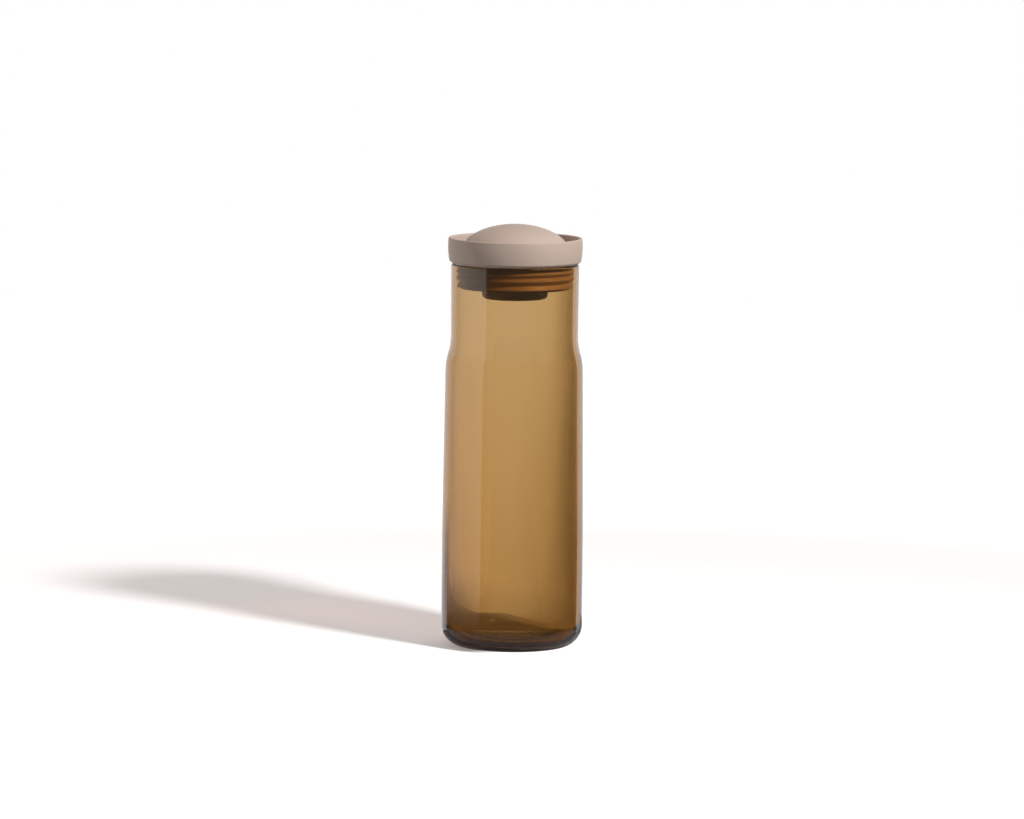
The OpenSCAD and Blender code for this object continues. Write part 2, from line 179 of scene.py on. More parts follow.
class CarafeStopper(bpy.types.PropertyGroup):
    """Sizes of the pieces that slide with the stopper."""

    dome_edge: length("Dome edge", "Rounding of the dome's lower edge", 0.5 * MM)
    dome_wall: length("Dome wall", "Thickness of the dome's wall", 2 * MM)
    base_height: length("Base height", "Thickness of the disc under the dome", 2.4 * MM)
    socket_wall: length("Socket wall", "Thickness of the stem socket's wall", 3 * MM)
    seal_width: length("Seal width", "Width of the valve seal", 3 * MM)
    bead_share: plain("Bead share", "Share of the seal's height that its round bead takes", 0.55)
    stem_radius: length("Stem radius", "Radius of the stem", 4 * MM)
    cup_draft: length("Cup draft", "Radius that the ballast cup loses down to its corner", 0.4 * MM)
    cup_corner: length("Cup corner", "Rounding of the ballast cup's lower corner", 2.6 * MM)
    cup_wall: length("Cup wall", "Thickness of the ballast cup's wall", 1.6 * MM)
    post_wall: length("Post wall", "Thickness of the cup's post round the stem", 2 * MM)
    cover_ledge: length("Cover ledge", "Width of the ledge that carries the cup's cover", 0.8 * MM)
    screw_pocket: length("Screw pocket", "Radius of the pocket for the screw's head", 3.64 * MM)
    pocket_depth: length("Pocket depth", "Depth of the pocket for the screw's head", 2.6 * MM)
    edge: length("Edge", "Rounding of the small moulded edges", 0.25 * MM)


class CarafeFinish(bpy.types.PropertyGroup):
    """Colours of the moulded pieces."""

    taupe: colour("Taupe", "Colour of the matt moulded lid", "#C2B0A3")
    silicone: colour("Silicone", "Colour of the seals", "#E4CBB6")
    acetal: colour("Acetal", "Colour of the guide bush", "#E4E0D8")
    steel: colour("Steel", "Colour of the stainless steel", "#B8B5B0")
    turns: IntProperty(name="Turn steps", description="Faces round a turned piece", default=224, min=48)


class CarafeStudio(bpy.types.PropertyGroup):
    """The camera, the lamps and the surround."""

    distance: length("Camera distance", "Distance of the camera from the axis", 3.98)
    height: length("Camera height", "Height of the camera over the floor", 0.5806)
    pitch: angle("Camera pitch", "How far the camera looks down", 6.274)
    yaw: angle("Camera yaw", "How far the camera looks to the left", 0.015)
    roll: angle("Camera roll", "How far the camera leans", 0.584)
    lens: FloatProperty(
        name="Lens", description="Focal length on a 36 mm sensor", default=234.0, min=1, unit="CAMERA")
    lamp_size: length("Lamp size", "Width of the round lamps", 0.092)
    lamp_away: length("Lamp distance", "Distance of both lamps from the axis, along the floor", 0.52)
    lamp_height: length("Lamp height", "Height of both lamps over the floor", 0.62)
    key_side: angle("Key side", "Direction of the key lamp, to the right of the camera", 50.6)
    key_power: plain("Key power", "Strength of the key lamp", 10.3)
    shadow_side: angle("Shadow lamp side", "Direction of the lamp that draws the shadow on the paper", 39.0)
    shadow_power: plain("Shadow lamp power", "Strength of that lamp", 10.1)
    # The shadow's edge in the glass is painted, a little past the true one
    shadow_edge: length("Shadow's edge", "Distance from the axis to the shadow's edge in the glass", 0.052)
    softbox: plain("Softbox", "Strength of the softbox on the left", 1.2)
    left_card: plain("Left card", "Strength of the card on the left that the glass mirrors", 1.35)
    back_cards: plain("Back cards", "Strength of the cards behind that the glass mirrors", 0.92)
    surround: plain("Surround", "Light from the studio's walls on the matt pieces", 0.27)
    mirrored: plain("Mirrored", "How bright the surround in front shows in a mirroring face", 0.04)
    floor_lift: plain("Floor lift", "Light that the paper adds, so that its shadow stays pale", 0.35)
    floor_lift_in_glass: plain("Floor lift in the glass", "The same, as seen through the glass", 0.17)
    floor_colour: colour("Floor", "Colour of the paper", "#E1E0DF")
    floor_in_glass: colour("Floor in the glass", "The same, as seen through the glass", "#F7F6F5")
    floor_bounce: colour("Floor bounce", "Colour of the paper as the matt pieces see it", "#8C8A88")


def arc(middle, radius, start, end, steps):
    """Points of an arc in an outline, from one angle to another in degrees."""
    angles = [math.radians(start + (end - start) * i / steps) for i in range(steps + 1)]
    return [(middle[0] + radius * math.cos(a), middle[1] + radius * math.sin(a)) for a in angles]


def quarter_ellipse(half_width, low, rise, steps):
    """Points of a dome's outline, from its edge up to its top on the axis."""
    angles = [math.pi / 2 * i / steps for i in range(steps + 1)]
    return [(half_width * math.cos(a), low + rise * math.sin(a)) for a in angles]


def shoulder(low_radius, high_radius, middle, rise, steps=14):
    """Points of the double curve that takes a wall from a wide radius up to a narrow one."""
    turn = 2 * math.atan((low_radius - high_radius) / rise)
    radius = rise / (2 * math.sin(turn))
    turn = math.degrees(turn)
    return (arc((low_radius - radius, middle - rise / 2), radius, 0, turn, steps)
            + arc((high_radius + radius, middle + rise / 2), radius, 180 + turn, 180, steps))


def crown(reach, level, rise, steps=12):
    """Points of a shallow cap, from the axis out to its edge."""
    radius = (reach * reach + rise * rise) / (2 * rise)
    half = math.degrees(math.asin(reach / radius))
    return arc((0, level + rise - radius), radius, 90, 90 - half, steps)


def turned(name, outline, turns, longest=None):
    """A closed piece turned about the carafe's axis. A corner's third value is its rounding."""
    mesh = bpy.data.meshes.new(name)
    shape = bmesh.new()
    corners, roundings = [], {}
    for point in outline:
        place = Vector((point[0], 0, point[1]))
        if corners and (corners[-1].co - place).length < SAME_PLACE:
            continue
        corners.append(shape.verts.new(place))
        if len(point) > 2:
            roundings.setdefault(point[2], []).append(corners[-1])
    if (corners[-1].co - corners[0].co).length < SAME_PLACE:
        shape.verts.remove(corners.pop())
    shape.faces.new(corners)
    for rounding, soft in sorted(roundings.items(), key=lambda item: item[0]):
        bmesh.ops.bevel(
            shape, geom=soft, offset=rounding, offset_type="OFFSET", affect="VERTICES", segments=5,
            profile=0.5, material=-1, clamp_overlap=True)
    bmesh.ops.delete(shape, geom=shape.faces[:], context="FACES_ONLY")
    on_axis = [e for e in shape.edges if all(abs(v.co.x) < MERGED for v in e.verts)]
    bmesh.ops.delete(shape, geom=on_axis, context="EDGES")
    if longest:
        for edge in [e for e in shape.edges if e.calc_length() > longest]:
            bmesh.ops.subdivide_edges(shape, edges=[edge], cuts=int(edge.calc_length() / longest))
    bmesh.ops.spin(
        shape, geom=shape.verts[:] + shape.edges[:], cent=(0, 0, 0), axis=(0, 0, 1), angle=FULL_TURN,
        steps=turns, use_merge=True, use_duplicate=False)
    bmesh.ops.remove_doubles(shape, verts=shape.verts[:], dist=MERGED)
    bmesh.ops.recalc_face_normals(shape, faces=shape.faces[:])
    for face in shape.faces:
        face.smooth = True
    shape.to_mesh(mesh)
    shape.free()
    piece = bpy.data.objects.new(name, mesh)
    bpy.context.scene.collection.objects.link(piece)
    weighted = piece.modifiers.new("even_normals", "WEIGHTED_NORMAL")
    weighted.keep_sharp = False
    return piece


def dress(piece, body, node, material):
    """Seats a new piece on its body, in place of its CAD node, and gives it its finish."""
    piece.data.materials.append(material)
    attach(piece, body)
    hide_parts(node)
    return piece


def refinish(node, material):
    """Gives a CAD node that keeps its own shape a finished material."""
    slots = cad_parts[node].material_slots
    for slot in slots:
        slot.material = material
    if not slots:
        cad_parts[node].data.materials.append(material)


def add(tree, kind, inputs=None, **settings):
    """Adds a shader node with its settings. An input is a constant or another node's output."""
    node = tree.nodes.new(kind)
    for name, value in settings.items():
        setattr(node, name, value)
    for name, value in (inputs or {}).items():
        socket = node.inputs[name]
        if isinstance(value, bpy.types.NodeSocket):
            tree.links.new(value, socket)
        elif socket.type == "RGBA" and len(value) == 3:
            socket.default_value = (*value, 1)
        else:
            socket.default_value = value
    return node


def new_material(name):
    """An empty node material, its tree and its output."""
    material = bpy.data.materials.new(name)
    material.use_nodes = True
    material.node_tree.nodes.clear()
    return material, material.node_tree, add(material.node_tree, "ShaderNodeOutputMaterial")


def shift(value, share):
    """A colour made lighter or darker by a share."""
    return [min(1, c * (1 + share)) for c in value]


def amber_glass(settings):
    """Soda-lime glass, mould-blown and fire-polished: clear, smooth, and darker where it is deeper."""
    name = "amber_soda_lime_glass_fire_polished"
    if name in bpy.data.materials:
        return bpy.data.materials[name]
    material, tree, out = new_material(name)
    glass = add(tree, "ShaderNodeBsdfPrincipled", {
        "Base Color": PLAIN_WHITE, "Roughness": 0.0, "IOR": 1.5, "Transmission Weight": 1.0})
    # Lamps shine through the glass into the shadow, which bent light can't do
    clear = add(tree, "ShaderNodeBsdfTransparent", {"Color": settings.shade_tint})
    path = add(tree, "ShaderNodeLightPath")
    both = add(tree, "ShaderNodeMixShader", {
        0: path.outputs["Is Shadow Ray"], 1: glass.outputs[0], 2: clear.outputs[0]})
    body = add(tree, "ShaderNodeVolumeAbsorption", {"Color": settings.tint, "Density": settings.absorbed})
    tree.links.new(both.outputs[0], out.inputs["Surface"])
    tree.links.new(body.outputs[0], out.inputs["Volume"])
    return material


def taupe_plastic(settings):
    """Polypropylene from a spark-eroded tool: dead matt, with a fine even grain and hardly any shine."""
    name = "taupe_polypropylene_spark_eroded"
    if name in bpy.data.materials:
        return bpy.data.materials[name]
    material, tree, out = new_material(name)
    place = add(tree, "ShaderNodeTexCoord").outputs["Object"]
    # The pigment clouds very slightly, in patches of about 12 mm
    clouds = add(tree, "ShaderNodeTexNoise", {"Vector": place, "Scale": 1 / (12 * MM), "Detail": 2.0})
    pigment = add(tree, "ShaderNodeMix", {
        0: clouds.outputs["Fac"], 6: shift(settings.taupe, -0.02), 7: shift(settings.taupe, 0.02)},
        data_type="RGBA")
    # The tool's grain is about 0.1 mm; it is drawn at 0.45 mm so that it shows
    grain = add(tree, "ShaderNodeTexNoise", {
        "Vector": place, "Scale": 1 / (0.45 * MM), "Detail": 2.0, "Roughness": 0.6})
    relief = add(tree, "ShaderNodeBump", {
        "Height": grain.outputs["Fac"], "Strength": 0.12, "Distance": 0.04 * MM})
    shine = add(tree, "ShaderNodeMapRange", {
        "Value": grain.outputs["Fac"], "To Min": 0.52, "To Max": 0.64})
    plastic = add(tree, "ShaderNodeBsdfPrincipled", {
        "Base Color": pigment.outputs[2], "Roughness": shine.outputs[0], "IOR": 1.49,
        "Specular IOR Level": 0.35, "Normal": relief.outputs[0]})
    tree.links.new(plastic.outputs[0], out.inputs["Surface"])
    return material


def silicone_rubber(settings):
    """Food-grade silicone, moulded: a soft satin skin that light enters a little, with a faint bloom."""
    name = "taupe_silicone_moulded"
    if name in bpy.data.materials:
        return bpy.data.materials[name]
    material, tree, out = new_material(name)
    place = add(tree, "ShaderNodeTexCoord").outputs["Object"]
    bloom = add(tree, "ShaderNodeTexNoise", {"Vector": place, "Scale": 1 / (5 * MM), "Detail": 3.0})
    skin = add(tree, "ShaderNodeMix", {
        0: bloom.outputs["Fac"], 6: shift(settings.silicone, -0.04), 7: shift(settings.silicone, 0.03)},
        data_type="RGBA")
    shine = add(tree, "ShaderNodeMapRange", {"Value": bloom.outputs["Fac"], "To Min": 0.38, "To Max": 0.5})
    rubber = add(tree, "ShaderNodeBsdfPrincipled", {
        "Base Color": skin.outputs[2], "Roughness": shine.outputs[0], "IOR": 1.41,
        "Subsurface Weight": 0.08, "Subsurface Radius": (1.0, 0.6, 0.4), "Subsurface Scale": 0.8 * MM})
    tree.links.new(rubber.outputs[0], out.inputs["Surface"])
    return material


def acetal(settings):
    """Acetal, turned and burnished: off-white, waxy and slightly shiny, with fine tool rings."""
    name = "white_acetal_turned"
    if name in bpy.data.materials:
        return bpy.data.materials[name]
    material, tree, out = new_material(name)
    place = add(tree, "ShaderNodeTexCoord").outputs["Object"]
    # Tool marks lie about 0.3 mm apart
    rings = add(tree, "ShaderNodeTexWave", {
        "Vector": place, "Scale": 1 / (2 * 0.3 * MM), "Distortion": 0.4},
        wave_type="BANDS", bands_direction="Z")
    relief = add(tree, "ShaderNodeBump", {
        "Height": rings.outputs["Fac"], "Strength": 0.2, "Distance": 0.02 * MM})
    shine = add(tree, "ShaderNodeMapRange", {"Value": rings.outputs["Fac"], "To Min": 0.26, "To Max": 0.36})
    plastic = add(tree, "ShaderNodeBsdfPrincipled", {
        "Base Color": settings.acetal, "Roughness": shine.outputs[0], "IOR": 1.48,
        "Subsurface Weight": 0.1, "Subsurface Radius": (1.0, 0.9, 0.8), "Subsurface Scale": 0.6 * MM,
        "Normal": relief.outputs[0]})
    tree.links.new(plastic.outputs[0], out.inputs["Surface"])
    return material


def turned_steel(settings):
    """Stainless steel, turned on a lathe: bright, with rings that draw the highlights out along them."""
    name = "stainless_steel_turned"
    if name in bpy.data.materials:
        return bpy.data.materials[name]
    material, tree, out = new_material(name)
    place = add(tree, "ShaderNodeTexCoord").outputs["Object"]
    # Feed marks lie about 0.25 mm apart
    rings = add(tree, "ShaderNodeTexWave", {
        "Vector": place, "Scale": 1 / (2 * 0.25 * MM), "Distortion": 0.6, "Detail": 1.0},
        wave_type="BANDS", bands_direction="Z")
    relief = add(tree, "ShaderNodeBump", {
        "Height": rings.outputs["Fac"], "Strength": 0.25, "Distance": 0.02 * MM})
    shine = add(tree, "ShaderNodeMapRange", {"Value": rings.outputs["Fac"], "To Min": 0.2, "To Max": 0.32})
    steel = add(tree, "ShaderNodeBsdfPrincipled", {
        "Base Color": settings.steel, "Metallic": 1.0, "Roughness": shine.outputs[0],
        "Anisotropic": 0.4, "Normal": relief.outputs[0]})
    tree.links.new(steel.outputs[0], out.inputs["Surface"])
    return material


def ripple_inside(piece, settings):
    """Lets the inner face of the blown glass stray a little, in slow waves round it and up it."""
    # Lengths of the waves, the plain stretch under the rim, and the most that the bore widens to it
    wave_across, wave_up, plain_rim, widening = 26 * MM, 70 * MM, 22 * MM, 0.3 * MM
    neck_bore = settings.neck_radius - settings.wall
    mid_wall = settings.body_radius - settings.wall / 2
    mid_floor = settings.punt + settings.floor / 3
    shape = bmesh.new()
    shape.from_mesh(piece.data)
    for vertex in shape.verts:
        place = vertex.co
        reach = math.hypot(place.x, place.y)
        in_bore = reach < neck_bore + widening or place.z < settings.shoulder
        if in_bore and reach < mid_wall and mid_floor < place.z <= GLASS_TOP - plain_rim:
            wave = noise.noise(Vector((place.x / wave_across, place.y / wave_across, place.z / wave_up)))
            vertex.co += vertex.normal * settings.ripple * wave
    shape.to_mesh(piece.data)
    shape.free()


class CARAFE_OT_glass(bpy.types.Operator):
    """Makes the glass body"""

    bl_idname = "carafe.make_glass"
    bl_label = "Glass body"

    def execute(self, context):
        s = context.scene.carafe_glass
        foot_out = s.body_radius - s.heel
        foot_in = foot_out - s.foot
        inner_floor = s.body_radius - s.heel_wall - s.inner_heel
        rim_round = s.wall / 2
        rim_middle = s.neck_radius + s.flare - rim_round
        low_radius = s.body_radius - s.taper
        outside = crown(foot_in, 0, s.punt)
        outside += arc((foot_out, s.heel), s.heel, -90, 0, 28)
        outside.append((s.body_radius, s.barrel_top))
        outside += shoulder(low_radius, s.neck_radius, s.shoulder, s.shoulder_rise)
        rim = arc((rim_middle, GLASS_TOP - rim_round), rim_round, 0, 180, 20)
        inside = shoulder(
            low_radius - s.shoulder_wall, s.neck_radius - s.wall, s.shoulder, s.shoulder_rise)[::-1]
        inside += self.inner_wall(s, s.shoulder - s.shoulder_rise / 2, s.floor + s.inner_heel)
        inside += arc((inner_floor, s.floor + s.inner_heel), s.inner_heel, 0, -90, 28)
        inside += crown(inner_floor, s.floor, s.crown)[::-1]
        outline = outside + rim + inside
        piece = turned("carafe_glass", outline, context.scene.carafe_finish.turns, longest=6 * MM)
        ripple_inside(piece, s)
        dress(piece, "carafe", "glass_body", amber_glass(s))
        return {"FINISHED"}

    def inner_wall(self, s, top, low, steps=16):
        """Points of the inner face under the shoulder: blown glass stays thicker towards the heel."""
        points = []
        for i in range(1, steps):
            depth = i / steps
            height = top + (low - top) * depth
            outer = s.body_radius - s.taper * max(0, height - s.barrel_top) / (top - s.barrel_top)
            wall = s.shoulder_wall + (s.heel_wall - s.shoulder_wall) * depth ** s.gather
            points.append((outer - wall, height))
        return points


class CARAFE_OT_collar(bpy.types.Operator):
    """Makes the cup-shaped collar with its pouring lip"""

    bl_idname = "carafe.make_collar"
    bl_label = "Pouring collar"

    def execute(self, context):
        s = context.scene.carafe_lid
        widest = outer_radius("lid_collar")
        low = SLEEVE_TOP
        middle = (widest - s.bulge_curve, low + s.bulge_height)
        lip_low = COLLAR_TOP - s.lip_round
        lip_turn = math.asin((lip_low - middle[1]) / s.bulge_curve)
        corner_turn = math.asin((low + s.corner - middle[1]) / s.bulge_curve)
        lip_out = middle[0] + s.bulge_curve * math.cos(lip_turn)
        corner_out = middle[0] + s.bulge_curve * math.cos(corner_turn)
        well_wall = lip_out - s.lip_wall
        floor = low + s.floor
        spigot_out = outer_radius("guide_spider")
        washer_out = outer_radius("rim_washer")
        outline = arc((corner_out - s.corner, low + s.corner), s.corner, -90, 0, 12)
        outline += arc(middle, s.bulge_curve, math.degrees(corner_turn), math.degrees(lip_turn), 20)
        outline += arc((lip_out - s.lip_round, lip_low), s.lip_round, 0, 90, 8)
        outline += arc((well_wall + s.lip_round, lip_low), s.lip_round, 90, 180, 8)
        outline += arc((well_wall - s.well_round, floor + s.well_round), s.well_round, 0, -90, 12)
        outline += [
            (s.port, floor, s.edge),
            (s.port, low, s.edge),
            (spigot_out - s.spigot_wall, low),
            (spigot_out - s.spigot_wall, SPIGOT_LOW, s.edge),
            (spigot_out, SPIGOT_LOW, s.edge),
            (spigot_out, low),
            (washer_out - s.washer_width, low),
            (washer_out - s.washer_width, low + s.washer_groove),
            (washer_out, low + s.washer_groove),
            (washer_out, low)]
        piece = turned("pouring_collar", outline, context.scene.carafe_finish.turns)
        dress(piece, "lid", "lid_collar", taupe_plastic(context.scene.carafe_finish))
        return {"FINISHED"}


class CARAFE_OT_plug(bpy.types.Operator):
    """Makes the plug's sleeve, its lipped gasket and the rim washer"""

    bl_idname = "carafe.make_plug"
    bl_label = "Plug and gasket"

    def execute(self, context):
        s = context.scene.carafe_lid
        finish = context.scene.carafe_finish
        self.sleeve(s, finish)
        self.gasket(s, finish)
        self.washer(s, finish)
        return {"FINISHED"}

    def sleeve(self, s, finish):
        flange = outer_radius("plug_sleeve")
        out = flange - s.flange_width
        inner = out - s.sleeve_wall
        ledge = inner - s.ledge_width
        ledge_top = SPIDER_LOW + s.hub_drop
        outline = [
            (out, SLEEVE_TOP),
            (inner, SLEEVE_TOP),
            (inner, ledge_top),
            (ledge, ledge_top, s.edge / 2),
            (ledge, ledge_top - s.ledge_height, s.edge),
            (inner, ledge_top - s.ledge_height - s.ledge_width, s.edge),
            (inner, SLEEVE_LOW, s.edge),
            (flange, SLEEVE_LOW, s.edge),
            (flange, GASKET_LOW, s.edge),
            (out, GASKET_LOW)]
        piece = turned("plug_tube", outline, finish.turns)
        dress(piece, "lid", "plug_sleeve", taupe_plastic(finish))

    def gasket(self, s, finish):
        """Three lips, each a notch above and a tip that was bent up as the plug went in."""
        tip = outer_radius("lip_gasket")
        root = tip - s.lip_reach
        inner = root - s.gasket_wall
        tall = GASKET_TOP - GASKET_LOW
        # Shares of the gasket's height, from its top down, and of the lips' reach
        notch_shares = [(0.13, 0.10), (0.435, 0.15), (0.775, 0.05)]
        tip_shares = [(0.29, 0.97), (0.585, 1.0), (0.965, 0.74)]
        outline = [(inner, GASKET_TOP), (root, GASKET_TOP, s.edge)]
        for notch, lip in zip(notch_shares, tip_shares):
            outline.append((root + s.lip_reach * notch[1], GASKET_TOP - tall * notch[0], s.notch_round))
            place = (root + s.lip_reach * lip[1] - s.lip_tip, GASKET_TOP - tall * lip[0])
            outline += arc(place, s.lip_tip, 65, -50, 8)
        outline += [(root, GASKET_LOW), (inner, GASKET_LOW)]
        piece = turned("lipped_gasket", outline, finish.turns)
        dress(piece, "lid", "lip_gasket", silicone_rubber(finish))

    def washer(self, s, finish):
        out = outer_radius("rim_washer")
        outline = [
            (out, WASHER_LOW, s.edge),
            (out, WASHER_TOP, s.edge / 2),
            (out - s.washer_width, WASHER_TOP, s.edge / 2),
            (out - s.washer_width, WASHER_LOW, s.edge)]
        piece = turned("seat_washer", outline, finish.turns)
        dress(piece, "lid", "rim_washer", silicone_rubber(finish))


class CARAFE_OT_guide(bpy.types.Operator):
    """Finishes the guide spider and its bush"""

    bl_idname = "carafe.finish_guide"
    bl_label = "Stem guide"

    def execute(self, context):
        finish = context.scene.carafe_finish
        refinish("guide_spider", taupe_plastic(finish))
        refinish("guide_bush", acetal(finish))
        return {"FINISHED"}


class CARAFE_OT_dome(bpy.types.Operator):
    """Makes the dome, its base disc and the valve seal"""

    bl_idname = "carafe.make_dome"
    bl_label = "Dome stopper"

    def execute(self, context):
        s = context.scene.carafe_stopper
        finish = context.scene.carafe_finish
        self.cap(s, finish)
        self.base(s, finish)
        self.seal(s, finish)
        return {"FINISHED"}

    def cap(self, s, finish):
        out = outer_radius("dome_cap")
        inner = out - s.dome_wall
        edge_top = DOME_LOW + s.dome_edge
        ledge = DOME_LOW + s.base_height
        outline = [(inner, DOME_LOW)]
        outline += arc((out - s.dome_edge, edge_top), s.dome_edge, -90, 0, 6)
        outline += quarter_ellipse(out, edge_top, DOME_TOP - edge_top, 48)
        hollow = quarter_ellipse(inner - s.dome_wall / 2, ledge, DOME_TOP - s.dome_wall - ledge, 32)
        outline += hollow[::-1] + [(inner, ledge)]
        piece = turned("stopper_dome", outline, finish.turns)
        dress(piece, "stopper", "dome_cap", taupe_plastic(finish))

    def base(self, s, finish):
        out = outer_radius("dome_base")
        socket = s.stem_radius + s.socket_wall
        seal_out = outer_radius("valve_seal")
        seal_in = seal_out - s.seal_width
        outline = [
            (s.stem_radius, DOME_LOW),
            (seal_in, DOME_LOW),
            (seal_in, SEAL_TOP),
            (seal_out, SEAL_TOP),
            (seal_out, DOME_LOW),
            (out, DOME_LOW, s.edge / 2),
            (out, DOME_LOW + s.base_height),
            (socket, DOME_LOW + s.base_height),
            (socket, SOCKET_TOP, s.edge),
            (0, SOCKET_TOP),
            (0, STEM_TOP),
            (s.stem_radius, STEM_TOP)]
        piece = turned("dome_disc", outline, finish.turns)
        dress(piece, "stopper", "dome_base", taupe_plastic(finish))

    def seal(self, s, finish):
        out = outer_radius("valve_seal")
        half = s.seal_width / 2
        bead = (DOME_LOW - SEAL_LOW) * s.bead_share
        angles = [math.pi * i / 16 for i in range(17)]
        round_bead = [(out - half - half * math.cos(a), SEAL_LOW + bead * (1 - math.sin(a))) for a in angles]
        outline = [(out - s.seal_width, SEAL_TOP)] + round_bead + [(out, SEAL_TOP)]
        piece = turned("valve_ring", outline, finish.turns)
        dress(piece, "stopper", "valve_seal", silicone_rubber(finish))


class CARAFE_OT_ballast(bpy.types.Operator):
    """Makes the bumper, the ballast cup and its cover, and finishes the stem and what the cup holds"""

    bl_idname = "carafe.make_ballast"
    bl_label = "Stem and ballast"

    def execute(self, context):
        s = context.scene.carafe_stopper
        finish = context.scene.carafe_finish
        self.cup(s, finish)
        self.bumper(s, finish)
        self.cover(s, finish)
        refinish("stem", turned_steel(finish))
        refinish("ballast_disc", turned_steel(finish))
        refinish("cup_screw", turned_steel(finish))
        refinish("screw_seal", silicone_rubber(finish))
        return {"FINISHED"}

    def cup(self, s, finish):
        out = outer_radius("ballast_cup")
        low_out = out - s.cup_draft
        seat = outer_radius("cup_cover")
        post = s.stem_radius + s.post_wall
        ledge = low_out - s.cup_wall - s.cover_ledge
        floor = CUP_LOW + s.cup_wall
        outline = arc((low_out - s.cup_corner, CUP_LOW + s.cup_corner), s.cup_corner, -90, 0, 12)
        outline += [
            (out, CUP_TOP, s.edge),
            (seat, CUP_TOP),
            (seat, COVER_LOW),
            (ledge, COVER_LOW),
            (ledge, floor, s.edge),
            (post, floor, s.edge),
            (post, COVER_LOW),
            (s.stem_radius, COVER_LOW),
            (s.stem_radius, STEM_LOW),
            (s.stem_radius / 2, STEM_LOW),
            (s.stem_radius / 2, CUP_LOW + s.pocket_depth),
            (s.screw_pocket, CUP_LOW + s.pocket_depth),
            (s.screw_pocket, CUP_LOW, s.edge)]
        piece = turned("ballast_shell", outline, finish.turns)
        dress(piece, "stopper", "ballast_cup", taupe_plastic(finish))

    def bumper(self, s, finish):
        out = outer_radius("bumper_washer")
        outline = [
            (s.stem_radius, BUMPER_LOW),
            (out, BUMPER_LOW, s.edge),
            (out, BUMPER_TOP, s.edge),
            (s.stem_radius, BUMPER_TOP, s.edge)]
        piece = turned("soft_bumper", outline, finish.turns // 2)
        dress(piece, "stopper", "bumper_washer", silicone_rubber(finish))

    def cover(self, s, finish):
        out = outer_radius("cup_cover")
        outline = [
            (s.stem_radius, COVER_LOW),
            (out, COVER_LOW),
            (out, COVER_TOP, s.edge),
            (s.stem_radius, COVER_TOP, s.edge)]
        piece = turned("ballast_lid", outline, finish.turns)
        dress(piece, "stopper", "cup_cover", taupe_plastic(finish))


def between(stops, place):
    """The value at a place, on straight lines between stops of (place, value)."""
    if place <= stops[0][0]:
        return stops[0][1]
    for (low, low_value), (high, high_value) in zip(stops, stops[1:]):
        if place <= high:
            return low_value + (high_value - low_value) * (place - low) / (high - low)
    return stops[-1][1]


def glowing_sheet(name, rows, material_name, tone=PLAIN_WHITE):
    """A studio card from rows of (place, brightness). The camera never sees it, and it throws no shadow."""
    mesh = bpy.data.meshes.new(name)
    shape = bmesh.new()
    shade = shape.verts.layers.float.new("shade")
    bmesh.ops.create_grid(shape, x_segments=len(rows[0]) - 1, y_segments=len(rows) - 1, size=1)
    # The grid's points lie row by row
    for vertex, (place, brightness) in zip(shape.verts, [point for row in rows for point in row]):
        vertex.co = place
        vertex[shade] = brightness
    shape.to_mesh(mesh)
    shape.free()
    sheet = bpy.data.objects.new(name, mesh)
    bpy.context.scene.collection.objects.link(sheet)
    material, tree, out = new_material(material_name)
    value = add(tree, "ShaderNodeAttribute", attribute_name="shade")
    face = add(tree, "ShaderNodeEmission", {"Color": tone, "Strength": value.outputs["Fac"]})
    tree.links.new(face.outputs[0], out.inputs["Surface"])
    mesh.materials.append(material)
    sheet.visible_camera = False
    sheet.visible_shadow = False
    return sheet


def card(name, middle, width, near, far, tall, stops, foot=1.0, mirror=0.0, tone=PLAIN_WHITE):
    """A card round the carafe, which may lean away, at degrees from the camera round to the right.

    Its stops are (share of the width, brightness), and foot is the share left at its lower edge.
    With the radius of a mirroring wall, the card's ends stand where that wall shows them upright."""
    column_width, foot_share = 3, 0.06
    columns = int(width / column_width)
    rows = []
    for rise, level in ((0, foot), (foot_share, 1), (1, 1)):
        away = near + (far - near) * rise
        row = []
        for i in range(columns + 1):
            share = i / columns
            a = math.radians(middle + width * (share - 0.5))
            place = Vector((
                mirror * math.sin(a / 2) + (away - mirror) * math.sin(a),
                -mirror * math.cos(a / 2) - (away - mirror) * math.cos(a),
                MM + (tall - MM) * rise))
            row.append((place, level * between(stops, share)))
        rows.append(row)
    return glowing_sheet(name, rows, "white_softbox_cloth", tone)


def brightness_seen(tree, mirrored, matt):
    """How bright the white surround shows: 1 to the camera and in the glass, and less to what is given here.

    The second output is 1 where a matt piece sees it."""
    path = add(tree, "ShaderNodeLightPath")
    # A ray that is bent through glass counts as glossy too
    mirror = add(tree, "ShaderNodeMath", {
        0: path.outputs["Is Glossy Ray"], 1: path.outputs["Is Transmission Ray"]},
        operation="SUBTRACT", use_clamp=True)
    gloss = add(tree, "ShaderNodeMix", {0: mirror.outputs[0], 2: 1.0, 3: mirrored}, data_type="FLOAT")
    after_matt = add(tree, "ShaderNodeMath", {
        0: path.outputs["Diffuse Depth"], 1: 0.5}, operation="GREATER_THAN")
    seen = add(tree, "ShaderNodeMix", {
        0: after_matt.outputs[0], 2: gloss.outputs[0], 3: matt}, data_type="FLOAT")
    return seen.outputs[0], after_matt.outputs[0]


def edge_side(settings):
    """Direction in which the shadow ends on the right: the lamp is near, so the shadow spreads as it goes."""
    return settings.shadow_side - math.asin(bpy.context.scene.carafe_glass.body_radius / settings.lamp_away)


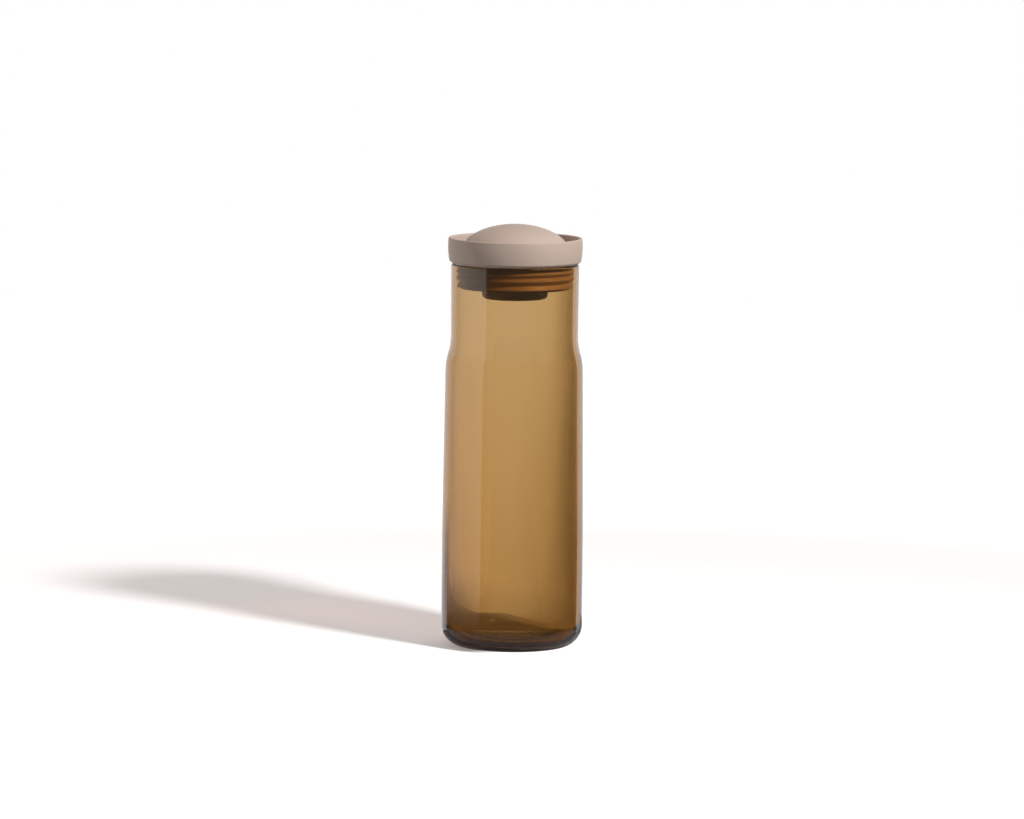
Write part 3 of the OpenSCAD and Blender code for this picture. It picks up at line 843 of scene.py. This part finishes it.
def floor_material(settings):
    """Matt white paper: it keeps the shadow, and shows as white to the camera and in the glass."""
    # Distances from the carafe's axis between which each part of the paper's look changes
    mirrored_near, mirrored_far = 45 * MM, 125 * MM
    lift_near, lift_far = 30 * MM, 60 * MM
    glass_lift_near, glass_lift_far = 24 * MM, 46 * MM
    shadow_end, plain_start = 450 * MM, 750 * MM
    bright_end, horizon = 600 * MM, 2200 * MM
    # The same across the edge of the painted shadow in the glass, and across the side towards the lamp that
    # is painted white
    edge_start, edge_end = settings.shadow_edge + 1 * MM, settings.shadow_edge + 5 * MM
    white_side_start, white_side_end = 2 * MM, 24 * MM
    mirrored_at_heel, lift_share_at_foot, painted_shade_in_glass, bright = 0.5, 0.7, 0.32, 1.13

    material, tree, out = new_material("matt_white_paper_sweep")
    place = add(tree, "ShaderNodeTexCoord").outputs["Object"]
    away = add(tree, "ShaderNodeVectorMath", {0: place}, operation="LENGTH").outputs["Value"]
    path = add(tree, "ShaderNodeLightPath")
    # The heel mirrors the paper beside it, and the wall mirrors the dark front of the studio
    beside = add(tree, "ShaderNodeMapRange", {
        "Value": away, "From Min": mirrored_near, "From Max": mirrored_far,
        "To Min": mirrored_at_heel, "To Max": settings.mirrored})
    seen, on_matt = brightness_seen(tree, beside.outputs[0], 0.0)
    paper_seen = add(tree, "ShaderNodeMix", {
        0: path.outputs["Is Transmission Ray"], 6: settings.floor_colour, 7: settings.floor_in_glass},
        data_type="RGBA")
    # Painted shadow: through the glass the paper is darkened a little past the true shadow's edge
    past_edge = (math.cos(edge_side(settings)), math.sin(edge_side(settings)), 0)
    along = add(tree, "ShaderNodeVectorMath", {0: place, 1: past_edge}, operation="DOT_PRODUCT")
    painted_wider_shadow = add(tree, "ShaderNodeMapRange", {
        "Value": along.outputs["Value"], "From Min": edge_start, "From Max": edge_end,
        "To Min": painted_shade_in_glass}, interpolation_type="SMOOTHSTEP")
    not_in_glass = add(tree, "ShaderNodeMath", {
        0: 1.0, 1: path.outputs["Is Transmission Ray"]}, operation="SUBTRACT")
    # The paper keeps its colour outside the glass, and takes the painted shadow in it
    lit = add(tree, "ShaderNodeMath", {
        0: painted_wider_shadow.outputs[0], 1: not_in_glass.outputs[0]}, operation="MAXIMUM")
    shown = add(tree, "ShaderNodeMath", {0: seen, 1: lit.outputs[0]}, operation="MULTIPLY")
    paper_shown = add(tree, "ShaderNodeMix", {
        0: shown.outputs[0], 6: (0, 0, 0, 1), 7: paper_seen.outputs[2]}, data_type="RGBA")
    paper_colour = add(tree, "ShaderNodeMix", {
        0: on_matt, 6: paper_shown.outputs[2], 7: settings.floor_bounce}, data_type="RGBA")
    paper = add(tree, "ShaderNodeBsdfDiffuse", {"Color": paper_colour.outputs[2]})
    # The paper's lift is a painted glow that keeps its shadow pale; it is lower under and beside the foot,
    # where it paints shade as less light gets in
    lift_outside = add(tree, "ShaderNodeMapRange", {
        "Value": away, "From Min": lift_near, "From Max": lift_far,
        "To Min": lift_share_at_foot * settings.floor_lift, "To Max": settings.floor_lift},
        interpolation_type="SMOOTHSTEP")
    lift_in_glass = add(tree, "ShaderNodeMapRange", {
        "Value": away, "From Min": glass_lift_near, "From Max": glass_lift_far,
        "To Min": 0.0, "To Max": settings.floor_lift_in_glass}, interpolation_type="SMOOTHSTEP")
    level = add(tree, "ShaderNodeMix", {
        0: path.outputs["Is Transmission Ray"], 2: lift_outside.outputs[0], 3: lift_in_glass.outputs[0]},
        data_type="FLOAT")
    # The paper glows with this painted light, to the camera and in the glass
    lift = add(tree, "ShaderNodeMath", {0: seen, 1: level.outputs[0]}, operation="MULTIPLY")
    glow = add(tree, "ShaderNodeEmission", {"Color": WARM_KEY, "Strength": lift.outputs[0]})
    both = add(tree, "ShaderNodeAddShader", {0: paper.outputs[0], 1: glow.outputs[0]})
    # Past the end of the shadow the paper is plain white, up to the horizon
    past = add(tree, "ShaderNodeMapRange", {
        "Value": away, "From Min": shadow_end, "From Max": plain_start}, interpolation_type="SMOOTHSTEP")
    # On the lamp's side the camera sees the paper painted plain white up to the foot, which paints over the
    # contact shade there
    to_lamp = (math.sin(settings.shadow_side), -math.cos(settings.shadow_side), 0)
    side = add(tree, "ShaderNodeVectorMath", {0: place, 1: to_lamp}, operation="DOT_PRODUCT")
    painted_white_side = add(tree, "ShaderNodeMapRange", {
        "Value": side.outputs["Value"], "From Min": white_side_start, "From Max": white_side_end},
        interpolation_type="SMOOTHSTEP")
    in_front = add(tree, "ShaderNodeMath", {
        0: painted_white_side.outputs[0], 1: path.outputs["Is Camera Ray"]}, operation="MULTIPLY")
    whiter = add(tree, "ShaderNodeMath", {0: past.outputs[0], 1: in_front.outputs[0]}, operation="MAXIMUM")
    plain_white = add(tree, "ShaderNodeMath", {0: seen, 1: whiter.outputs[0]}, operation="MULTIPLY")
    # The near paper is a little brighter than white, which shows only through the glass
    fade = add(tree, "ShaderNodeMapRange", {
        "Value": away, "From Min": bright_end, "From Max": horizon, "To Min": bright, "To Max": 1.0})
    white = add(tree, "ShaderNodeEmission", {"Color": PLAIN_WHITE, "Strength": fade.outputs[0]})
    sweep = add(tree, "ShaderNodeMixShader", {
        0: plain_white.outputs[0], 1: both.outputs[0], 2: white.outputs[0]})
    tree.links.new(sweep.outputs[0], out.inputs["Surface"])
    return material


class CARAFE_OT_studio(bpy.types.Operator):
    """Makes the floor, the surround, the key lamp, the cards and the camera"""

    bl_idname = "carafe.make_studio"
    bl_label = "Studio"

    def execute(self, context):
        s = context.scene.carafe_studio
        paper = self.floor(s)
        self.surround(context, s)
        key_lamp = self.lamp("key_lamp", s, s.key_side, s.key_power, WARM_KEY[:3])
        shadow_lamp = self.lamp("shadow_lamp", s, s.shadow_side, s.shadow_power, PLAIN_WHITE[:3])
        self.light_only(key_lamp, paper, "EXCLUDE")
        self.light_only(shadow_lamp, paper, "INCLUDE")
        self.cards(context, s)
        self.camera(context, s)
        context.scene.view_settings.view_transform = "Standard"
        # The glass lets the lamps' light straight through, so no bent light is added to it
        context.scene.cycles.caustics_reflective = False
        context.scene.cycles.caustics_refractive = False
        return {"FINISHED"}

    def floor(self, s):
        mesh = bpy.data.meshes.new("studio_floor")
        shape = bmesh.new()
        bmesh.ops.create_grid(shape, x_segments=1, y_segments=1, size=HALF_FLOOR)
        shape.to_mesh(mesh)
        shape.free()
        plane = bpy.data.objects.new("studio_floor", mesh)
        bpy.context.scene.collection.objects.link(plane)
        mesh.materials.append(floor_material(s))
        return plane

    def surround(self, context, s):
        """White to the camera and in the glass, and nearly dark to the matt pieces, which the lamps light."""
        world = bpy.data.worlds.new("studio_walls")
        context.scene.world = world
        world.use_nodes = True
        tree = world.node_tree
        tree.nodes.clear()
        out = add(tree, "ShaderNodeOutputWorld")
        strength, on_matt = brightness_seen(tree, s.mirrored, s.surround)
        tone = add(tree, "ShaderNodeMix", {0: on_matt, 6: PLAIN_WHITE, 7: WARM_FILL}, data_type="RGBA")
        back = add(tree, "ShaderNodeBackground", {"Color": tone.outputs[2], "Strength": strength})
        tree.links.new(back.outputs[0], out.inputs["Surface"])

    def lamp(self, name, s, side, power, tone):
        lamp = bpy.data.lights.new(name, "AREA")
        lamp.shape = "DISK"
        lamp.size = s.lamp_size
        lamp.energy = power
        lamp.color = tone
        lamp.use_nodes = True
        tree = lamp.node_tree
        tree.nodes.clear()
        # The lamp is near, but its light stays as strong at the far end of the shadow
        even = add(tree, "ShaderNodeLightFalloff", {"Strength": 1.0})
        face = add(tree, "ShaderNodeEmission", {"Color": PLAIN_WHITE, "Strength": even.outputs["Constant"]})
        out = add(tree, "ShaderNodeOutputLight")
        tree.links.new(face.outputs[0], out.inputs["Surface"])
        holder = bpy.data.objects.new(name, lamp)
        bpy.context.scene.collection.objects.link(holder)
        holder.location = (s.lamp_away * math.sin(side), -s.lamp_away * math.cos(side), s.lamp_height)
        towards = holder.location - Vector((0, 0, COLLAR_TOP / 2))
        holder.rotation_mode = "QUATERNION"
        holder.rotation_quaternion = towards.to_track_quat("Z", "Y")
        holder.visible_camera = False
        return holder

    def light_only(self, lamp, paper, state):
        """Lets a lamp light the paper alone, or all but the paper."""
        lit = bpy.data.collections.new("lit_by_" + lamp.name)
        lit.objects.link(paper)
        lit.collection_objects[0].light_linking.link_state = state
        lamp.light_linking.receiver_collection = lit

    def cards(self, context, s):
        wall = context.scene.carafe_glass.body_radius
        softbox = card(
            "softbox_left", middle=-128, width=44, near=1.1, far=1.1, tall=1.1, stops=[(0, s.softbox)],
            tone=WARM_FILL)
        softbox.visible_glossy = False
        softbox.visible_transmission = False
        # This card falls off towards the back, where the glass mirrors it more strongly
        left_shares = ((0, 0.5), (0.2, 0.66), (0.4, 0.86), (0.6, 0.88), (1, 0.83))
        left = card(
            "mirrored_card_left", middle=-93.5, width=80, near=0.12, far=0.5, tall=0.5,
            stops=[(place, s.left_card * share) for place, share in left_shares], foot=0.0, mirror=wall)
        left.visible_diffuse = False
        for side, middle in (("left", -156.5), ("right", 156.5)):
            behind = card(
                "mirrored_card_behind_" + side, middle=middle, width=47, near=0.08, far=0.5, tall=0.5,
                stops=[(0, s.back_cards)], mirror=wall)
            behind.visible_diffuse = False
            behind.visible_transmission = False
        self.graded_card(s)

    def graded_card(self, s):
        """A grey card that leans away behind the carafe, and draws the dark line beside the glass's edge."""
        # Stops of (column from the left, brightness)
        columns = 22
        # The foot row is darker: painted shade on the paper close behind the foot, as the glass shows it
        shaded_foot_stops = (
            (3, 0.5), (6, 0.62), (9, 0.82), (11, 0.88), (14, 0.74), (18, 0.42), (19, 0.36), (20, 0.24),
            (21, 0.26), (22, 1.1))
        near_stops = (
            (4, 1.1), (7, 1.07), (10, 1.13), (12, 1.09), (14, 1.02), (15, 0.94), (18, 0.59), (20, 0.3),
            (21, 0.33), (22, 1.2))
        middle_stops = (
            (11, 1.08), (13, 1.04), (15, 0.94), (16, 0.84), (17, 0.56), (18, 0.35), (19, 0.3), (20, 0.38),
            (21, 0.8), (22, 1.3))
        far_stops = (
            (15, 1.0), (17, 0.66), (18, 0.52), (19, 0.49), (20, 0.72), (21, 1.1), (22, 1.3))
        # The near edge runs along the edge of the painted shadow that the paper shows in the glass, a little
        # past the true shadow's edge
        near_left, near_right = -83 * MM, 60 * MM
        far_left, far_right, far, tall = -480 * MM, 345 * MM, 900 * MM, 500 * MM
        rows = []
        for rise, stops in (
                (0, shaded_foot_stops), (0.04, near_stops), (0.19, middle_stops), (0.33, far_stops), (1, far_stops)):
            row = []
            for i in range(columns + 1):
                near_x = near_left + (near_right - near_left) * i / columns
                near_y = (s.shadow_edge - near_x * math.cos(edge_side(s))) / math.sin(edge_side(s))
                end = Vector((far_left + (far_right - far_left) * i / columns, far, tall))
                row.append((Vector((near_x, near_y, MM)).lerp(end, rise), between(stops, i)))
            rows.append(row)
        glowing_sheet("graded_card", rows, "graded_grey_card").visible_diffuse = False

    def camera(self, context, s):
        data = bpy.data.cameras.new("photo_camera")
        data.sensor_width = SENSOR
        data.lens = s.lens
        data.clip_end = 4 * HALF_FLOOR
        camera = bpy.data.objects.new("photo_camera", data)
        context.scene.collection.objects.link(camera)
        turn = Matrix.Rotation(s.yaw, 4, "Z")
        aim = Matrix.Rotation(math.pi / 2 - s.pitch, 4, "X") @ Matrix.Rotation(s.roll, 4, "Z")
        camera.matrix_world = Matrix.Translation((0, -s.distance, s.height)) @ turn @ aim
        context.scene.camera = camera


class CARAFE_PT_panel(bpy.types.Panel):
    """Lists the carafe's pieces and their sizes"""

    bl_label = "Carafe"
    bl_idname = "CARAFE_PT_panel"
    bl_space_type = "VIEW_3D"
    bl_region_type = "UI"
    bl_category = "Carafe"

    def draw(self, context):
        for maker in OPERATORS:
            self.layout.operator(maker.bl_idname)
        for group in GROUPS:
            settings = getattr(context.scene, group)
            column = self.layout.column()
            for name in settings.__annotations__:
                column.prop(settings, name)


GROUPS = {
    "carafe_glass": CarafeGlass,
    "carafe_lid": CarafeLid,
    "carafe_stopper": CarafeStopper,
    "carafe_finish": CarafeFinish,
    "carafe_studio": CarafeStudio,
}
OPERATORS = [CARAFE_OT_glass, CARAFE_OT_collar, CARAFE_OT_plug, CARAFE_OT_guide, CARAFE_OT_dome,
             CARAFE_OT_ballast, CARAFE_OT_studio]


def register():
    for kind in [*GROUPS.values(), *OPERATORS, CARAFE_PT_panel]:
        bpy.utils.register_class(kind)
    for name, kind in GROUPS.items():
        setattr(bpy.types.Scene, name, PointerProperty(type=kind))


def unregister():
    for name in GROUPS:
        delattr(bpy.types.Scene, name)
    for kind in reversed([*GROUPS.values(), *OPERATORS, CARAFE_PT_panel]):
        bpy.utils.unregister_class(kind)


def main():
    register()
    bpy.ops.carafe.make_glass()
    bpy.ops.carafe.make_collar()
    bpy.ops.carafe.make_plug()
    bpy.ops.carafe.finish_guide()
    bpy.ops.carafe.make_dome()
    bpy.ops.carafe.make_ballast()
    bpy.ops.carafe.make_studio()


if __name__ == "__main__":
    main()
